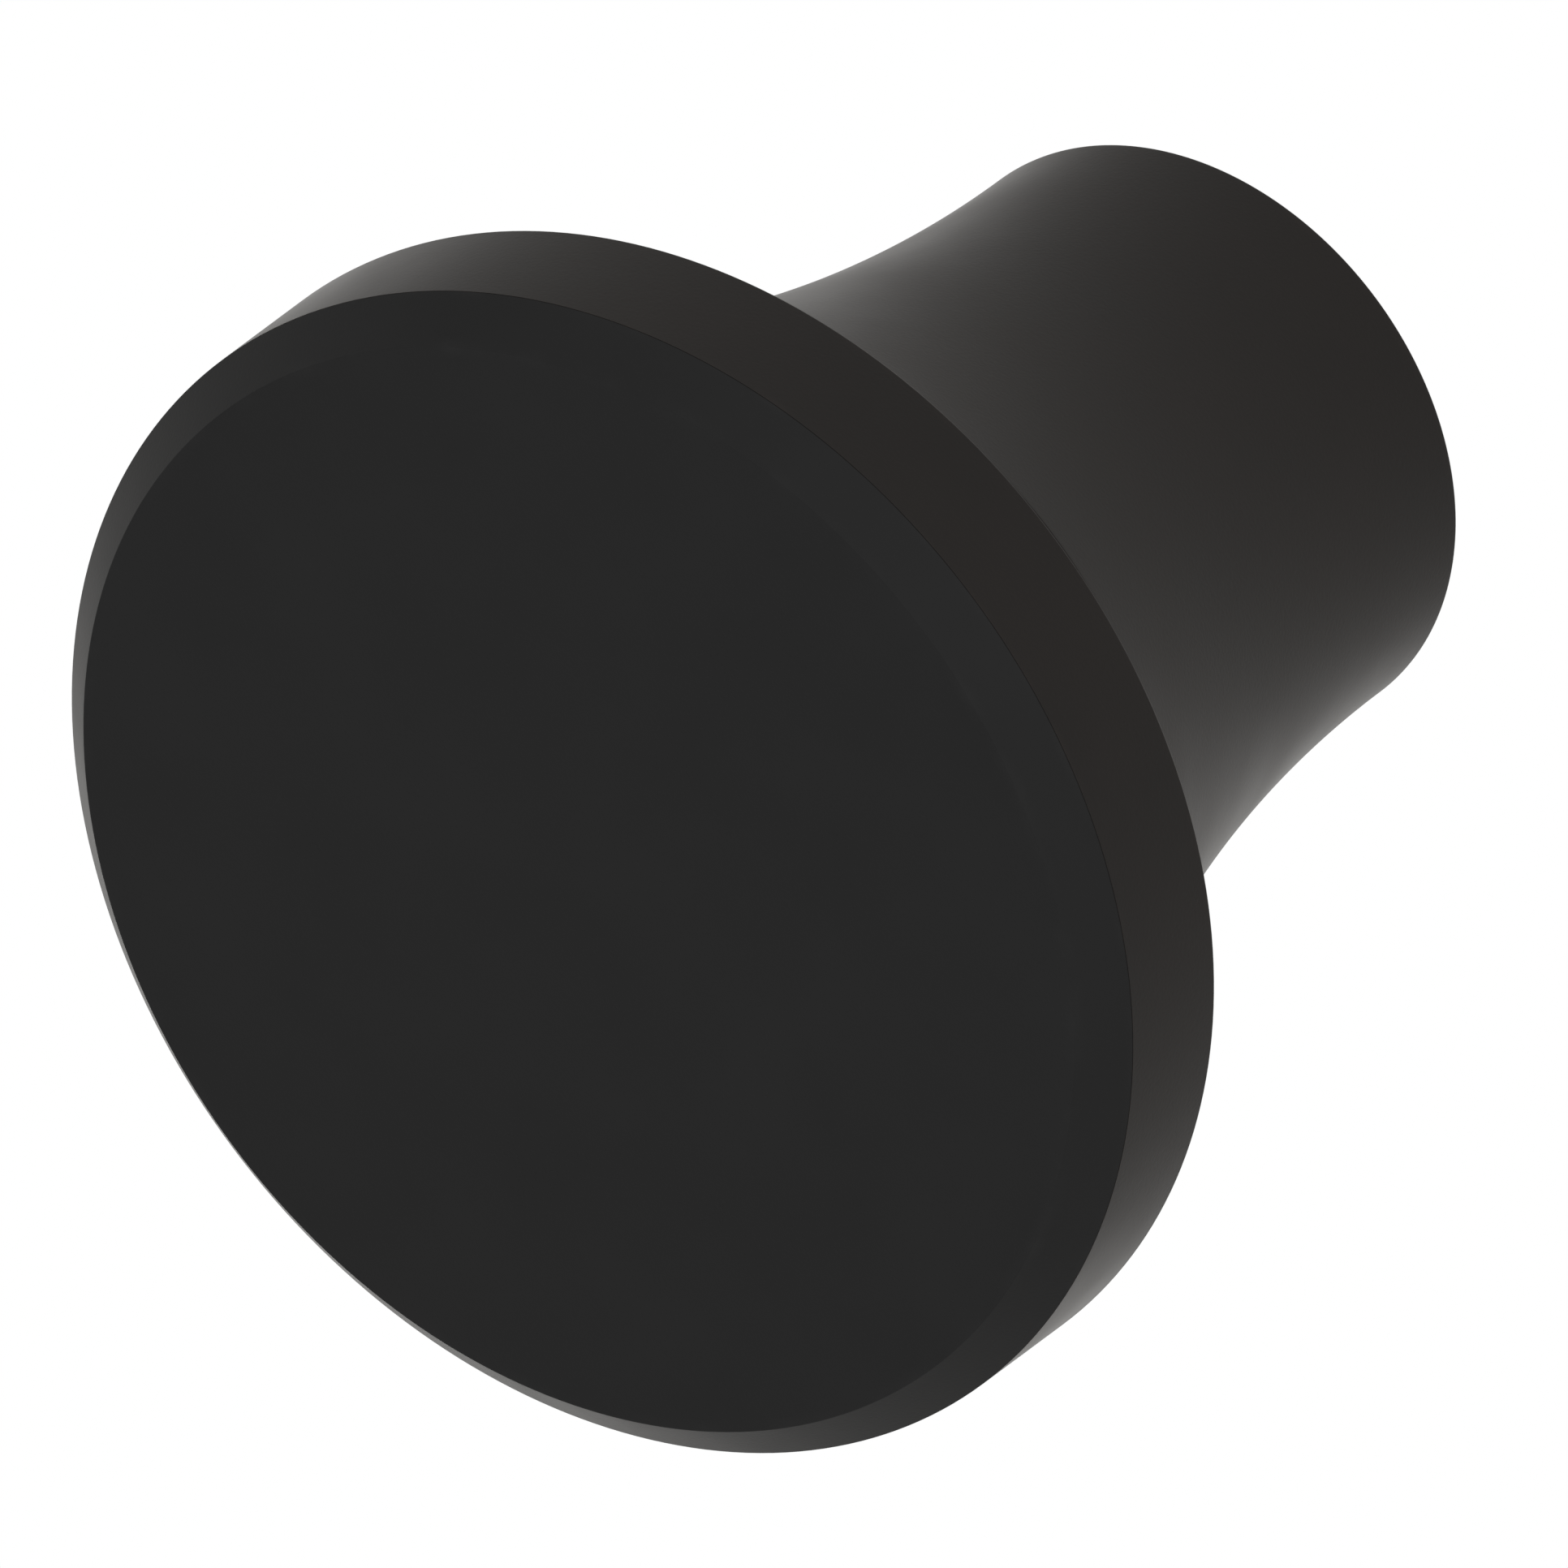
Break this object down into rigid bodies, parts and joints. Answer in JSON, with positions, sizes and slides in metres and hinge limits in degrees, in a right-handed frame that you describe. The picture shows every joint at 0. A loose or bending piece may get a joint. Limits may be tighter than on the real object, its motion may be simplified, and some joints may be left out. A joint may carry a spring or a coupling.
{
  "type": "sink plunger",
  "caption": "Short hand-held sink plunger: a black rubber cup with a straight rim and a concave flared grip, standing on a flat chamfered push-fit mouth cover.",
  "frame": {"origin": "centre of the mouth cover's flat face, which the plunger stands on", "axes": "+Z along the axis of revolution, from the flat face up to the palm end; X and Y have no preferred direction"},
  "size_m": [0.12, 0.12, 0.104],
  "materials": {
    "cover_plastic": "satin black, fine moulded texture",
    "cup_rubber": "satin black moulded rubber",
    "grip_rubber": "satin black soft-touch rubber",
    "cap_plastic": "satin black, fine moulded texture",
    "core_plastic": "plain dark grey moulding",
    "seal_rubber": "smooth black",
    "steel": "stainless, lightly worn"
  },
  "bodies": {
    "cover": {"mouth_cover": "cover_plastic"},
    "cup": {"rubber_cup": "cup_rubber"},
    "handle": {"clamp_plate": "steel", "bolt_seal": "seal_rubber", "clamp_bolt": "steel", "handle_base": "core_plastic", "handle_core": "core_plastic", "grip_sleeve": "grip_rubber", "top_washer": "steel", "spring_washer": "steel", "hex_nut": "steel", "end_cap": "cap_plastic", "cap_seal": "seal_rubber"}
  },
  "joints": [
    {"name": "cup_lift", "type": "slide", "parent": "cover", "child": "cup", "axis": [0, 0, 1], "range_m": [0, 0.018]},
    {"name": "handle_stroke", "type": "slide", "parent": "cup", "child": "handle", "axis": [0, 0, -1], "range_m": [0, 0.01], "stiffness_N_per_m": 4000, "springref_m": -0.001, "deforming": ["rubber_cup"]}
  ]
}
